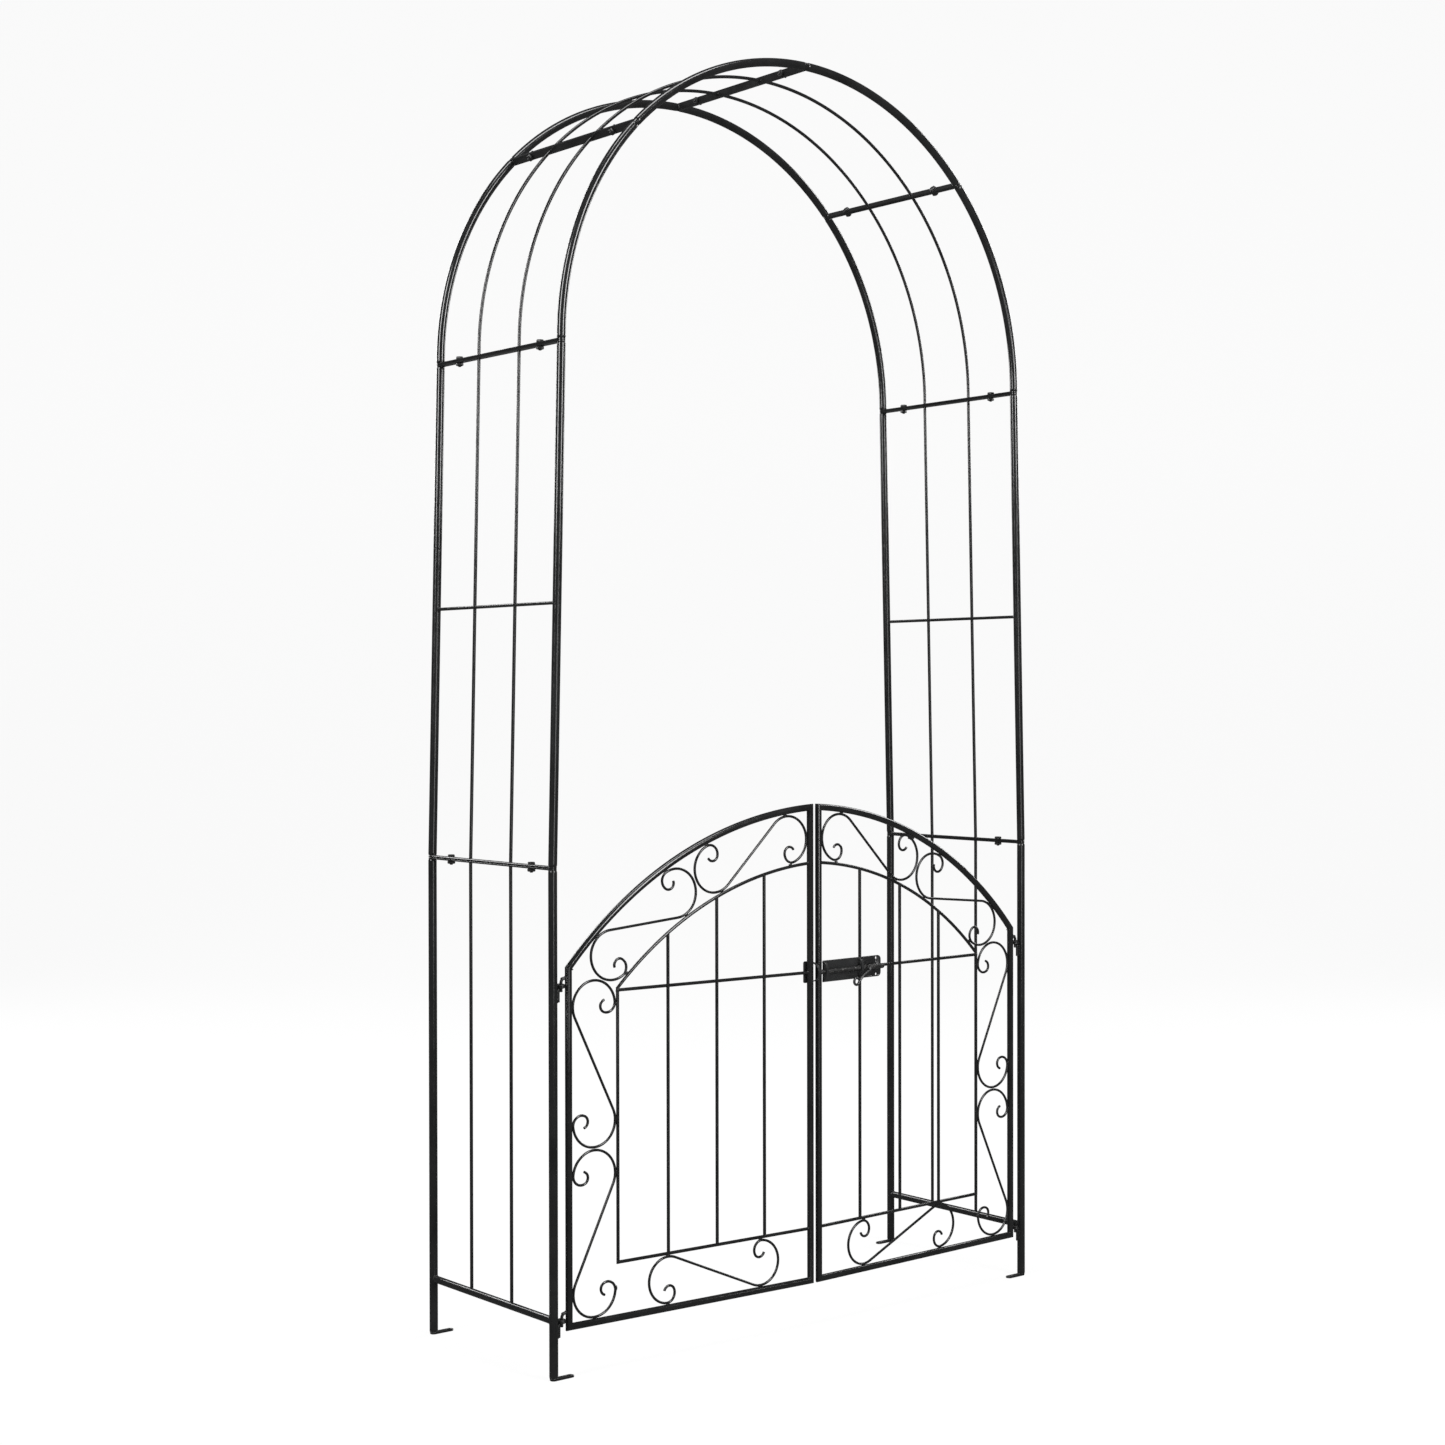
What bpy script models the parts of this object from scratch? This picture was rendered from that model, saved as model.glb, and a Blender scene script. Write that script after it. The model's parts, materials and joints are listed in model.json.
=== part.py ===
"""Metal trellis arch with a double garden gate. Metres, +Z up, the gate at the front (-Y).

Two side panels carry a round top, all bolted together at seven joints. Two gate leaves hang in the
front opening on hook-and-eye hinges and close with a barrel bolt."""

import math

import bmesh
import bpy
from mathutils import Matrix, Vector

# Overall layout
FRONT_Y = -0.1687
DEPTH = 0.372
BACK_Y = FRONT_Y + DEPTH
WIRE_YS = (FRONT_Y + DEPTH / 3, FRONT_Y + DEPTH * 2 / 3)
BOLT_YS = (FRONT_Y + DEPTH / 6, FRONT_Y + DEPTH * 5 / 6)
GAP = 0.0003

# Side panels and round top
FOOT_X = 0.559
SPRING_X = 0.539
SPRING_Z = 1.728
ARCH_CENTRE_Z = 1.733
SHOULDER_ANGLE = math.radians(44.6)
LOWER_JOINT_Z = 0.851
BOTTOM_RAIL_Z = 0.099
CROSSBAR_Z = 1.292
POST_RADIUS = 0.0075
RAIL_RADIUS = 0.0065
WIRE_RADIUS = 0.003
CROSSBAR_RADIUS = 0.0029
ARCH_STEPS = 8

# Joint flats and their bolts
FLAT_WIDTH = 0.014
FLAT_THICKNESS = 0.003
FLAT_INSET = GAP / 2 + FLAT_THICKNESS / 2
HOLE_RADIUS = 0.0035
BOLT_RADIUS = 0.003
HEX_RADIUS = 0.0069
HEAD_HEIGHT = 0.0045
NUT_HEIGHT = 0.005
BOLT_END = 0.002

# Feet
FOOT_THICKNESS = 0.003
FOOT_WIDTH = 0.013
FOOT_REACH = 0.04

# Gate leaves: u runs from the hinge stile to the lock stile, z is the height
HINGE_X = 0.5426
STILE_OFFSET = 0.0146
REST_ANGLE = math.radians(2.3)
LEAF_WIDTH = 0.5184
FRAME_RADIUS = 0.006
GATE_BOTTOM = 0.084
TOP_ARC = Vector((0.563, 0.188))
TOP_RADIUS = 0.750
INNER_RADIUS = 0.650
INNER_U = 0.099
INNER_BOTTOM = 0.178
MID_ROD_Z = 0.6395
INNER_ROD = 0.003
BAR_ROD = 0.0029
BAR_COUNT = 3
SCROLL_WIRE = 0.0023
LOOP_RADIUS = 0.0424
LOW_LOOP_RADIUS = 0.0399
CURL_START = math.radians(-84)
CURL_RADIUS = 0.0163
CURL_SWEEP = math.radians(121)
TIP_RADIUS = 0.0108
TIP_SWEEP = math.radians(140)

# Hinges
HOOK_TOPS = {"Upper": 0.6675, "Lower": 0.109}
HOOK_RADIUS = 0.0027
HOOK_BEND = 0.0075
HOOK_DROP = 0.023
EYE_OUTER = 0.0073
EYE_INNER = 0.0032
EYE_TOP = -0.008
EYE_HEIGHT = 0.0095
LEG_RADIUS = 0.0029
LEG_LENGTH = 0.022

# Latch, on the right leaf, with its keeper on the left leaf
LATCH_Z = MID_ROD_Z
PLATE_FACE = -0.0053
PLATE_THICKNESS = 0.002
PLATE_HEIGHT = 0.039
PLATE_END = 0.364
SCREW_HOLE = 0.0025
BOLT_Y = -0.0104
LATCH_ROD = 0.004
BOLT_TIP = 0.5248
BARREL_START = 0.4
BARREL_END = 0.362
STRAP_FRONT = -0.0172
STRAP_HALF = 0.0175
STRAP_THICKNESS = 0.0018
STRAP_WIDTH = 0.0055
GUIDE_US = {"Near": 0.5112, "Far": 0.4212}
KEEPER_FACE = FRAME_RADIUS + GAP
KEEPER_START = 0.5085
KEEPER_STRAP_U = 0.5274
HANDLE_WIRE = 0.0024
HANDLE_Y = -0.0215
HANDLE_LOOP = 0.0062
STEM_U = 0.407

COAT = (0.012, 0.012, 0.013, 1)
BOLT_COLOUR = (0.02, 0.02, 0.021, 1)


def clear_scene():
    for obj in list(bpy.data.objects):
        bpy.data.objects.remove(obj, do_unlink=True)


def paint(obj, colour=COAT, roughness=0.42, metallic=0.15):
    material = bpy.data.materials.new(obj.name + "_coat")
    material.use_nodes = True
    shader = material.node_tree.nodes["Principled BSDF"]
    shader.inputs["Base Color"].default_value = colour
    shader.inputs["Roughness"].default_value = roughness
    shader.inputs["Metallic"].default_value = metallic
    obj.data.materials.clear()
    obj.data.materials.append(material)


def add_object(name, bm, parent=None):
    bmesh.ops.recalc_face_normals(bm, faces=bm.faces)
    mesh = bpy.data.meshes.new(name)
    bm.to_mesh(mesh)
    bm.free()
    mesh.shade_smooth()
    mesh.set_sharp_from_angle(angle=math.radians(40))
    obj = bpy.data.objects.new(name, mesh)
    bpy.context.scene.collection.objects.link(obj)
    obj.parent = parent
    return obj


def link_rings(bm, rings, closed):
    """Skins neighbouring rings of vertices, and caps both ends of an open run."""
    last = len(rings) if closed else len(rings) - 1
    sides = len(rings[0])
    for i in range(last):
        here, there = rings[i], rings[(i + 1) % len(rings)]
        for k in range(sides):
            bm.faces.new((here[k], here[(k + 1) % sides], there[(k + 1) % sides], there[k]))
    if not closed:
        bm.faces.new(reversed(rings[0]))
        bm.faces.new(rings[-1])


def tube(name, points, radius, normal, sides=12, closed=False, parent=None):
    """A round bar along a path that lies in one plane, mitred at its corners."""
    points = [Vector(point) for point in points]
    normal = Vector(normal).normalized()
    count = len(points)
    rings = []
    bm = bmesh.new()
    for i, point in enumerate(points):
        before = points[i - 1] if i or closed else None
        after = points[(i + 1) % count] if i < count - 1 or closed else None
        arriving = (point - before).normalized() if before else (after - point).normalized()
        leaving = (after - point).normalized() if after else arriving
        along = (arriving + leaving).normalized()
        across = along.cross(normal) / along.dot(arriving)
        ring = []
        for k in range(sides):
            turn = math.tau * k / sides
            offset = across * math.cos(turn) + normal * math.sin(turn)
            ring.append(bm.verts.new(point + radius * offset))
        rings.append(ring)
    link_rings(bm, rings, closed)
    return add_object(name, bm, parent)


def turned(name, profile, sides, place=None, parent=None):
    """A solid of revolution about Z from (height, radius) pairs, moved by the matrix place."""
    bm = bmesh.new()
    rings = []
    for height, radius in profile:
        ring = []
        for k in range(sides):
            turn = math.tau * k / sides
            ring.append(bm.verts.new((radius * math.cos(turn), radius * math.sin(turn), height)))
        rings.append(ring)
    link_rings(bm, rings, closed=False)
    if place:
        bm.transform(place)
    return add_object(name, bm, parent)


def slab(name, outline, thickness, place=None, parent=None):
    """A plate: the outline in X and Y, extruded up from Z = 0, then moved by the matrix place."""
    bm = bmesh.new()
    rings = []
    for height in (0, thickness):
        rings.append([bm.verts.new((x, y, height)) for x, y in outline])
    link_rings(bm, rings, closed=False)
    if place:
        bm.transform(place)
    return add_object(name, bm, parent)


def arc(centre, radius, start, sweep, steps):
    """Points along an arc in a plane, from the angle start through sweep."""
    angles = [start + sweep * i / steps for i in range(steps + 1)]
    return [Vector((centre[0] + radius * math.cos(a), centre[1] + radius * math.sin(a))) for a in angles]


def axes(origin, x_axis, y_axis, z_axis):
    """The matrix that puts local X, Y and Z along the three given directions."""
    matrix = Matrix((x_axis, y_axis, z_axis)).transposed().to_4x4()
    return Matrix.Translation(origin) @ matrix


def combine(node, others, operation):
    """Joins the other solids to the node or cuts them from it, keeping them as hidden helpers."""
    helpers = bpy.data.collections.new(node.name + "_" + operation.lower())
    bpy.context.scene.collection.children.link(helpers)
    for other in others:
        bpy.context.scene.collection.objects.unlink(other)
        helpers.objects.link(other)
        other.hide_render = True
        other.display_type = "WIRE"
    boolean = node.modifiers.new(operation.title(), "BOOLEAN")
    boolean.operation = operation
    boolean.operand_type = "COLLECTION"
    boolean.collection = helpers
    boolean.solver = "EXACT"


# Arch sections


def joint_frame(x, z, along, y):
    """Local X across the flat, local Y along the depth, local Z along the bar at a joint."""
    along = Vector((along[0], 0, along[1])).normalized()
    depth = Vector((0, 1, 0))
    return axes(Vector((x, y, z)), depth.cross(along), depth, along)


def joint_flat(name, x, z, along, side_of_joint):
    """The flat welded across the ends of a section, set back from the joint plane."""
    end = FLAT_WIDTH / 2
    start = -FLAT_THICKNESS / 2 + side_of_joint * FLAT_INSET
    outline = arc((0, 0), end, math.pi, math.pi, 6)
    outline += arc((0, DEPTH), end, 0, math.pi, 6)
    place = joint_frame(x, z, along, FRONT_Y) @ Matrix.Translation((0, 0, start))
    return slab(name, outline, FLAT_THICKNESS, place)


def hole_cutters(name, x, z, along):
    cutters = []
    for y in BOLT_YS:
        profile = ((-0.01, HOLE_RADIUS), (0.01, HOLE_RADIUS))
        cutters.append(turned(name + "_hole", profile, 8, joint_frame(x, z, along, y)))
    return cutters


def section(name, path, joints, rails=()):
    """One bolted section: two posts and two wires along the path, a flat at each joint, and its rails.

    path(trim) gives (x, z) points with the ends at a joint cut back by trim. joints holds
    (x, z, direction of the bar, side of the joint plane) for each flat."""
    pieces = []
    for y in (FRONT_Y, BACK_Y):
        points = [(x, y, z) for x, z in path(GAP / 2 + FLAT_THICKNESS - 0.0005)]
        pieces.append(tube(name, points, POST_RADIUS, (0, 1, 0)))
    for y in WIRE_YS:
        points = [(x, y, z) for x, z in path(FLAT_INSET)]
        if rails and rails[0][2] == RAIL_RADIUS:
            points[0] = (points[0][0], y, rails[0][1])
        pieces.append(tube(name + "_wire", points, WIRE_RADIUS, (0, 1, 0), sides=8))
    for x, z, radius in rails:
        points = ((x, FRONT_Y, z), (x, BACK_Y, z))
        pieces.append(tube(name + "_rail", points, radius, (1, 0, 0), sides=8))
    for x, z, along, side_of_joint in joints:
        pieces.append(joint_flat(name + "_flat", x, z, along, side_of_joint))
    combine(pieces[0], pieces[1:], "UNION")
    cutters = []
    for x, z, along, _ in joints:
        cutters += hole_cutters(name, x, z, along)
    combine(pieces[0], cutters, "DIFFERENCE")
    paint(pieces[0])


def lean_x(z):
    """How far out the leaning posts stand at a height between the lower joint and the spring joint."""
    return FOOT_X + (SPRING_X - FOOT_X) * (z - LOWER_JOINT_Z) / (SPRING_Z - LOWER_JOINT_Z)


def lower_panel(side, name):
    x = side * FOOT_X

    def path(trim):
        return (x, FOOT_THICKNESS + GAP), (x, LOWER_JOINT_Z - trim)

    section(name, path, [(x, LOWER_JOINT_Z, (0, 1), -1)], [(x, BOTTOM_RAIL_Z, RAIL_RADIUS)])


def upper_panel(side, name):
    def path(trim):
        low, high = LOWER_JOINT_Z + trim, SPRING_Z - trim
        return (side * lean_x(low), low), (side * lean_x(high), high)

    joints = (
        (side * FOOT_X, LOWER_JOINT_Z, (0, 1), 1),
        (side * SPRING_X, SPRING_Z, (0, 1), -1),
    )
    section(name, path, joints, [(side * lean_x(CROSSBAR_Z), CROSSBAR_Z, CROSSBAR_RADIUS)])


def arch_point(side, angle):
    return side * SPRING_X * math.cos(angle), ARCH_CENTRE_Z + SPRING_X * math.sin(angle)


def arch_section(side, name, start, end):
    def path(trim):
        first = start + trim / SPRING_X
        last = end - trim / SPRING_X
        turns = [first + (last - first) * i / ARCH_STEPS for i in range(ARCH_STEPS + 1)]
        return [arch_point(side, turn) for turn in turns]

    joints = []
    for angle, side_of_joint in ((start, 1), (end, -1)):
        x, z = arch_point(side, angle)
        joints.append((x, z, (-side * math.sin(angle), math.cos(angle)), side_of_joint))
    section(name, path, joints)


def joint_bolt(name, x, z, along, y):
    """A hex bolt through both flats, with its nut."""
    face = GAP / 2 + FLAT_THICKNESS + GAP
    low = -face - NUT_HEIGHT
    profile = (
        (low - BOLT_END, BOLT_RADIUS),
        (low, BOLT_RADIUS),
        (low, HEX_RADIUS),
        (-face, HEX_RADIUS),
        (-face, BOLT_RADIUS),
        (face, BOLT_RADIUS),
        (face, HEX_RADIUS),
        (face + HEAD_HEIGHT, HEX_RADIUS),
    )
    paint(turned(name, profile, 6, joint_frame(x, z, along, y)), BOLT_COLOUR, 0.35, 0.6)


def foot_tab(name, side, y):
    """The strap foot under a post, with a hole for a ground peg near its inner end."""
    end = FOOT_WIDTH / 2
    outline = arc((FOOT_REACH - end, 0), end, -math.pi / 2, math.pi, 6)
    outline += arc((0, 0), end, math.pi / 2, math.pi, 6)
    place = axes(Vector((side * FOOT_X, y, 0)), Vector((-side, 0, 0)), Vector((0, -side, 0)), Vector((0, 0, 1)))
    foot = slab(name, outline, FOOT_THICKNESS, place)
    profile = ((-0.01, HOLE_RADIUS), (0.01, HOLE_RADIUS))
    spot = Matrix.Translation((side * (FOOT_X - FOOT_REACH + 0.009), y, 0))
    combine(foot, [turned(name + "_hole", profile, 12, spot)], "DIFFERENCE")
    paint(foot)


def arch():
    start = math.asin((SPRING_Z - ARCH_CENTRE_Z) / SPRING_X)
    half = SHOULDER_ANGLE
    joints = [("Apex", 0, ARCH_CENTRE_Z + SPRING_X, (1, 0))]
    for side, hand in ((-1, "Left"), (1, "Right")):
        lower_panel(side, hand + "_Lower_Side_Panel")
        upper_panel(side, hand + "_Upper_Side_Panel")
        arch_section(side, hand + "_Lower_Arch_Section", start, half)
        arch_section(side, hand + "_Upper_Arch_Section", half, math.pi / 2)
        joints.append((hand + "_Panel", side * FOOT_X, LOWER_JOINT_Z, (0, 1)))
        joints.append((hand + "_Spring", side * SPRING_X, SPRING_Z, (0, 1)))
        x, z = arch_point(side, half)
        joints.append((hand + "_Shoulder", x, z, (-side * math.sin(half), math.cos(half))))
        for y, place in ((FRONT_Y, "Front"), (BACK_Y, "Back")):
            foot_tab(hand + "_" + place + "_Foot_Tab", side, y)
    for name, x, z, along in joints:
        for y, place in zip(BOLT_YS, ("Front", "Back")):
            joint_bolt(name + "_Joint_" + place + "_Bolt", x, z, along, y)


# Gate leaves


def hang(hand, side):
    """The empty on the hinge axis that carries a leaf, turned to the leaf's resting angle."""
    hinge = bpy.data.objects.new(hand + "_Gate_Hinge_Axis", None)
    bpy.context.scene.collection.objects.link(hinge)
    hinge.location = (side * HINGE_X, FRONT_Y, 0)
    hinge.rotation_euler.z = side * REST_ANGLE
    return hinge


def leaf_point(side, u, z, y=0.0):
    """A point of a leaf in its hinge's frame."""
    return Vector((-side * (STILE_OFFSET + u), y, z))


def leaf_tube(name, side, hinge, points, radius, sides=8, closed=False):
    path = [leaf_point(side, u, z) for u, z in points]
    return tube(name, path, radius, (0, 1, 0), sides, closed, hinge)


def arc_over(radius, low_u, high_u, steps):
    """Leaf points along an arch about the shared centre, from one u to another."""
    low = math.acos((low_u - TOP_ARC.x) / radius)
    high = math.acos((high_u - TOP_ARC.x) / radius)
    return arc(TOP_ARC, radius, low, high - low, steps)


def gate_frame(hand, side, hinge):
    outline = [(LEAF_WIDTH, GATE_BOTTOM), (0, GATE_BOTTOM)]
    outline += arc_over(TOP_RADIUS, 0, LEAF_WIDTH, 14)
    frame = leaf_tube(hand + "_Gate_Frame", side, hinge, outline, FRAME_RADIUS, 12, closed=True)
    paint(frame)


def gate_grid(hand, side, hinge):
    """The inner arch with its mid rod and upright bars, welded into one grid."""
    name = hand + "_Gate_Grid"
    last = LEAF_WIDTH - FRAME_RADIUS - GAP
    outline = [(last, INNER_BOTTOM), (INNER_U, INNER_BOTTOM)]
    outline += arc_over(INNER_RADIUS, INNER_U, last, 10)
    grid = leaf_tube(name, side, hinge, outline, INNER_ROD)
    rods = [leaf_tube(name + "_rod", side, hinge, ((INNER_U, MID_ROD_Z), (last, MID_ROD_Z)), BAR_ROD)]
    for i in range(BAR_COUNT):
        u = INNER_U + (LEAF_WIDTH - INNER_U) * (i + 1) / (BAR_COUNT + 1)
        top = TOP_ARC.y + math.sqrt(INNER_RADIUS**2 - (u - TOP_ARC.x) ** 2)
        rods.append(leaf_tube(name + "_bar", side, hinge, ((u, INNER_BOTTOM), (u, top)), BAR_ROD * 0.98))
    combine(grid, rods, "UNION")
    paint(grid)


def turned_by(angle):
    return Vector((math.cos(angle), math.sin(angle)))


def scroll_path(spacing, loop, hand):
    """An S-scroll along local X: a straight between two loops that each curl in twice, tighter at the tip."""
    lean = math.asin(2 * loop / spacing)
    centre = Vector((spacing / 2, 0))
    start = math.pi / 2 + lean
    half = arc(centre, loop, start, CURL_START - start, 10)
    curl = centre + (loop - CURL_RADIUS) * turned_by(CURL_START)
    half += arc(curl, CURL_RADIUS, CURL_START, -CURL_SWEEP, 4)[1:]
    tip = curl + (CURL_RADIUS - TIP_RADIUS) * turned_by(CURL_START - CURL_SWEEP)
    half += arc(tip, TIP_RADIUS, CURL_START - CURL_SWEEP, -TIP_SWEEP, 4)[1:]
    path = [-point for point in reversed(half)] + half
    return [Vector((point.x, hand * point.y)) for point in path]


def scroll(name, side, hinge, first, second, loop, hand):
    """A scroll whose loops are centred on the two leaf points first and second."""
    first, second = Vector(first), Vector(second)
    along = (second - first).normalized()
    across = Vector((-along.y, along.x))
    middle = (first + second) / 2
    path = scroll_path((second - first).length, loop, hand)
    points = [middle + point.x * along + point.y * across for point in path]
    paint(leaf_tube(name, side, hinge, points, SCROLL_WIRE, sides=6))


def band_point(degrees):
    """A point midway between the two arches of a leaf."""
    turn = math.radians(degrees)
    middle = (TOP_RADIUS - FRAME_RADIUS + INNER_RADIUS + INNER_ROD) / 2
    return TOP_ARC + middle * Vector((math.cos(turn), math.sin(turn)))


def gate_scrolls(hand, side, hinge):
    name = hand + "_Gate_Scroll_"
    band_u = (FRAME_RADIUS + INNER_U - INNER_ROD) / 2
    low_z = (GATE_BOTTOM + FRAME_RADIUS + INNER_BOTTOM - INNER_ROD) / 2
    scrolls = (
        ("Side_Low", (band_u, 0.135), (band_u, 0.3312), LOOP_RADIUS, -1),
        ("Side_High", (band_u, 0.421), (band_u, 0.617), LOOP_RADIUS, 1),
        ("Bottom", (0.203, low_z), (0.404, low_z), LOW_LOOP_RADIUS, -1),
        ("Top_Outer", band_point(132.9), band_point(119.3), LOOP_RADIUS, -1),
        ("Top_Inner", band_point(111.8), band_point(97.9), LOOP_RADIUS, 1),
    )
    for place, first, second, loop, turn in scrolls:
        scroll(name + place, side, hinge, first, second, loop, turn)


def hinge_eye(name, side, top):
    """The eye on the post: a ring around the hinge axis on a leg that runs down the post."""
    high = top + EYE_TOP
    low = high - EYE_HEIGHT
    place = Matrix.Translation((side * HINGE_X, FRONT_Y, 0))
    ring = turned(name, ((low, EYE_OUTER), (high, EYE_OUTER)), 12, place)
    leg_x = side * (FOOT_X - POST_RADIUS - LEG_RADIUS - GAP)
    points = ((leg_x, FRONT_Y, low - LEG_LENGTH), (leg_x, FRONT_Y, (low + high) / 2))
    combine(ring, [tube(name + "_leg", points, LEG_RADIUS, (0, 1, 0), sides=8)], "UNION")
    bore = ((low - 0.01, EYE_INNER), (high + 0.01, EYE_INNER))
    combine(ring, [turned(name + "_bore", bore, 12, place)], "DIFFERENCE")
    paint(ring)


def hinge_hook(name, side, hinge, top):
    """The hook on the stile: out from the stile, over, and down through the eye."""
    start = STILE_OFFSET - FRAME_RADIUS - GAP
    bend = arc((HOOK_BEND, top - HOOK_BEND), HOOK_BEND, math.pi / 2, math.pi / 2, 6)
    path = [Vector((start, top))] + bend + [Vector((0, top - HOOK_DROP))]
    points = [(-side * point.x, 0, point.y) for point in path]
    paint(tube(name, points, HOOK_RADIUS, (0, 1, 0), 8, parent=hinge))


# Latch


def strap(name, side, hinge, u, back):
    """A bridge-shaped strap that bulges to the front over the bolt, from a plate face at back."""
    outer, inner = [], []
    for i in range(13):
        turn = math.pi * i / 12
        swell = math.sin(turn) ** 0.8
        outer.append((STRAP_HALF * math.cos(turn), back + (STRAP_FRONT - back) * swell))
        reach = STRAP_HALF - STRAP_THICKNESS
        front = STRAP_FRONT + STRAP_THICKNESS
        inner.append((reach * math.cos(turn), back + (front - back) * swell))
    origin = leaf_point(side, u - STRAP_WIDTH / 2, LATCH_Z)
    place = axes(origin, Vector((0, 0, 1)), Vector((0, 1, 0)), Vector((-side, 0, 0)))
    return slab(name, outer + inner[::-1], STRAP_WIDTH, place, hinge)


def latch_plate(side, hinge):
    """The plate behind the bolt, with two round corners and two screw holes at its free end."""
    start = LEAF_WIDTH - FRAME_RADIUS - GAP
    half = PLATE_HEIGHT / 2
    corner = 0.008
    outline = [(start, -half), (start, half)]
    outline += arc((PLATE_END + corner, half - corner), corner, math.pi / 2, math.pi / 2, 5)
    outline += arc((PLATE_END + corner, corner - half), corner, math.pi, math.pi / 2, 5)
    origin = leaf_point(side, 0, LATCH_Z, PLATE_FACE)
    place = axes(origin, Vector((-side, 0, 0)), Vector((0, 0, 1)), Vector((0, 1, 0)))
    plate = slab("Latch_Plate", outline, PLATE_THICKNESS, place, hinge)
    holes = []
    for height in (-0.015, 0.015):
        centre = leaf_point(side, 0.3765, LATCH_Z + height)
        spot = Matrix.Translation(centre) @ Matrix.Rotation(math.pi / 2, 4, "X")
        holes.append(turned("Latch_hole", ((-0.02, SCREW_HOLE), (0.02, SCREW_HOLE)), 12, spot, hinge))
    combine(plate, holes, "DIFFERENCE")
    paint(plate)


def latch_keeper(side, hinge):
    """The plate behind the left lock stile, with the strap that catches the bolt."""
    half = PLATE_HEIGHT / 2
    last = KEEPER_STRAP_U + STRAP_WIDTH / 2
    outline = ((KEEPER_START, -half), (last, -half), (last, half), (KEEPER_START, half))
    origin = leaf_point(side, 0, LATCH_Z, KEEPER_FACE)
    place = axes(origin, Vector((-side, 0, 0)), Vector((0, 0, 1)), Vector((0, 1, 0)))
    keeper = slab("Latch_Keeper", outline, PLATE_THICKNESS, place, hinge)
    hoop = strap("Latch_Keeper_hoop", side, hinge, KEEPER_STRAP_U - 0.0001, KEEPER_FACE + 0.001)
    combine(keeper, [hoop], "UNION")
    paint(keeper)


def latch_bolt(side, hinge):
    """The sliding bolt: a rod with a thicker barrel at its tail and a wire handle with a loop."""
    profile = (
        (BARREL_END, LATCH_ROD * 0.7),
        (BARREL_END + 0.004, LATCH_ROD * 1.2),
        (BARREL_START - 0.003, LATCH_ROD * 1.2),
        (BARREL_START, LATCH_ROD),
        (BOLT_TIP - 0.002, LATCH_ROD),
        (BOLT_TIP, LATCH_ROD * 0.7),
    )
    origin = leaf_point(side, 0, LATCH_Z, BOLT_Y)
    place = axes(origin, Vector((0, 1, 0)), Vector((0, 0, -side)), Vector((-side, 0, 0)))
    bolt = turned("Latch_Bolt", profile, 12, place, hinge)
    stem = [leaf_point(side, STEM_U, LATCH_Z, y) for y in (BOLT_Y, HANDLE_Y)]
    root = tube("Latch_stem", stem, HANDLE_WIRE, (0, 0, 1), 8, parent=hinge)
    curve = [(STEM_U - 0.001, LATCH_Z + 0.001), (STEM_U + 0.006, LATCH_Z - 0.0025)]
    curve += [(STEM_U + 0.0175, LATCH_Z - 0.0105), (STEM_U + 0.025, LATCH_Z - 0.0186)]
    eye = (STEM_U + 0.0358, LATCH_Z - 0.022)
    loop = arc(eye, HANDLE_LOOP, math.radians(200), math.radians(290), 10)
    path = [leaf_point(side, u, z, HANDLE_Y) for u, z in curve + loop]
    handle = tube("Latch_handle", path, HANDLE_WIRE, (0, 1, 0), 8, parent=hinge)
    combine(bolt, [root, handle], "UNION")
    paint(bolt)


def latch(hinges):
    left, right = hinges
    latch_plate(1, right)
    for place, u in GUIDE_US.items():
        paint(strap("Latch_" + place + "_Guide_Strap", 1, right, u, PLATE_FACE - GAP))
    latch_bolt(1, right)
    latch_keeper(-1, left)


def gate():
    hinges = []
    for side, hand in ((-1, "Left"), (1, "Right")):
        hinge = hang(hand, side)
        hinges.append(hinge)
        gate_frame(hand, side, hinge)
        gate_grid(hand, side, hinge)
        gate_scrolls(hand, side, hinge)
        for level, top in HOOK_TOPS.items():
            hinge_eye(hand + "_" + level + "_Hinge_Eye", side, top)
            hinge_hook(hand + "_" + level + "_Hinge_Hook", side, hinge, top)
    latch(hinges)


clear_scene()
arch()
gate()
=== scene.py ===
"""Looks of the metal trellis arch: rounded tubes and rods, weld beads, threaded joint bolts, hinges,
barrel bolt and powder-coat materials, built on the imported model's frame."""

import json
import math

import bmesh
import bpy
from mathutils import Matrix, Vector, noise


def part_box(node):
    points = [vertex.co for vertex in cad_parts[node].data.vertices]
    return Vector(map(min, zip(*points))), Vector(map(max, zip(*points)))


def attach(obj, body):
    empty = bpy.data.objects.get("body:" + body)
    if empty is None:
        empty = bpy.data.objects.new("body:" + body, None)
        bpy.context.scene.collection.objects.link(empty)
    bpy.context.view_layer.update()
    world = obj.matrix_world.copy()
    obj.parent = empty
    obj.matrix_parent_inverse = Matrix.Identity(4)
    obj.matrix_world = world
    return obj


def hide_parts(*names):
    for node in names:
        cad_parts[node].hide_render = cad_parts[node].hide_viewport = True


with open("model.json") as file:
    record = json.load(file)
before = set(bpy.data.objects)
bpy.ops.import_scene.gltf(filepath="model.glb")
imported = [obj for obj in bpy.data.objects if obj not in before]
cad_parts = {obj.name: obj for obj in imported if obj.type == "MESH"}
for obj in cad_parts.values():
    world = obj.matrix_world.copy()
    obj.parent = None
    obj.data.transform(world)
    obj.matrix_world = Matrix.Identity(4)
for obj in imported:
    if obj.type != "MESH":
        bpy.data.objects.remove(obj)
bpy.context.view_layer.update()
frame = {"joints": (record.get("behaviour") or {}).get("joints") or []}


def middle(node):
    low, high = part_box(node)
    return (Vector(low) + Vector(high)) / 2


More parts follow.
